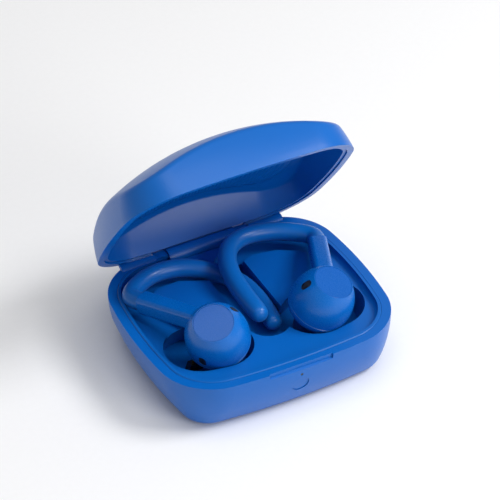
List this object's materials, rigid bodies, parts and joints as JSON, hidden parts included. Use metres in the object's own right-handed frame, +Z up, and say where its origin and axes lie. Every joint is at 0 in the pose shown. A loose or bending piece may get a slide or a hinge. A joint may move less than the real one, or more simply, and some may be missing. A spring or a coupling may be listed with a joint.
{
  "type": "wireless sport earphones in charging case",
  "caption": "Sport earphones with over-ear hooks, resting in an open hinged charging case with sprung contacts and a pairing button.",
  "frame": {"origin": "centre of the flat bottom of the case base", "axes": "+Z up, -Y toward the button side, +Y toward the lid hinge, X along the long side"},
  "size_m": [0.082, 0.0826, 0.08],
  "materials": {
    "case_blue": "satin",
    "tray_blue": "satin",
    "bud_blue": "satin",
    "cap_blue": "satin",
    "hook_silicone": "satin",
    "tip_silicone": "matte",
    "mesh_black": "matte",
    "steel": "satin",
    "gold": "polished",
    "board_green": "satin",
    "chip_black": "matte",
    "battery_grey": "satin",
    "foam_black": "matte",
    "black_plastic": "satin",
    "lamp_clear": "polished",
    "magnet_nickel": "polished"
  },
  "bodies": {
    "case_base": {"base_shell": "case_blue", "cradle_tray": "tray_blue", "charge_board": "board_green", "board_chips": "chip_black", "board_screws": "steel", "case_battery": "battery_grey", "battery_foam": "foam_black", "usb_shell": "steel", "usb_tongue": "black_plastic", "usb_board": "board_green", "switch_body": "black_plastic", "status_led": "lamp_clear", "light_pipe": "lamp_clear", "left_pin_block": "black_plastic", "right_pin_block": "black_plastic", "cradle_magnets": "magnet_nickel", "base_magnets": "magnet_nickel", "lid_sensor": "chip_black", "hinge_pin": "steel", "hinge_spring": "steel"},
    "button": {"pair_button": "case_blue", "switch_plunger": "black_plastic"},
    "left_pins": {"left_charge_pins": "gold"},
    "right_pins": {"right_charge_pins": "gold"},
    "lid": {"lid_shell": "case_blue", "lid_liner": "case_blue", "lid_magnets": "magnet_nickel", "lid_hinge_block": "case_blue"},
    "left_bud": {"left_outer_shell": "bud_blue", "left_inner_shell": "bud_blue", "left_touch_cap": "cap_blue", "left_mic_mesh": "mesh_black", "left_vent_mesh": "mesh_black", "left_nozzle_mesh": "mesh_black", "left_ear_tip": "tip_silicone", "left_driver": "black_plastic", "left_battery": "steel", "left_board": "board_green", "left_charge_contacts": "gold", "left_magnet": "magnet_nickel", "left_hook_arm": "bud_blue", "left_ear_hook": "hook_silicone", "left_hook_wire": "steel"},
    "right_bud": {"right_outer_shell": "bud_blue", "right_inner_shell": "bud_blue", "right_touch_cap": "cap_blue", "right_mic_mesh": "mesh_black", "right_vent_mesh": "mesh_black", "right_nozzle_mesh": "mesh_black", "right_ear_tip": "tip_silicone", "right_driver": "black_plastic", "right_battery": "steel", "right_board": "board_green", "right_charge_contacts": "gold", "right_magnet": "magnet_nickel", "right_hook_arm": "bud_blue", "right_ear_hook": "hook_silicone", "right_hook_wire": "steel"}
  },
  "joints": [
    {"name": "lid_hinge", "type": "hinge", "parent": "case_base", "child": "lid", "pos_m": [0, 0.0343, 0.0168], "axis": [-1, 0, 0], "range_deg": [-53, 0]},
    {"name": "pair_button_press", "type": "slide", "parent": "case_base", "child": "button", "axis": [0, 1, 0], "range_m": [0, 0.0004], "stiffness_N_per_m": 400},
    {"name": "left_pins_press", "type": "slide", "parent": "case_base", "child": "left_pins", "axis": [0, -0.4226, 0.9063], "range_m": [-0.0005, 0], "stiffness_N_per_m": 300},
    {"name": "right_pins_press", "type": "slide", "parent": "case_base", "child": "right_pins", "axis": [0, -0.4226, 0.9063], "range_m": [-0.0005, 0], "stiffness_N_per_m": 300},
    {"name": "left_bud_lift", "type": "slide", "parent": "case_base", "child": "left_bud", "axis": [0, -0.4226, 0.9063], "range_m": [0, 0.022]},
    {"name": "right_bud_lift", "type": "slide", "parent": "left_bud", "child": "right_bud", "axis": [0, -0.4226, 0.9063], "range_m": [0, 0.022]}
  ]
}
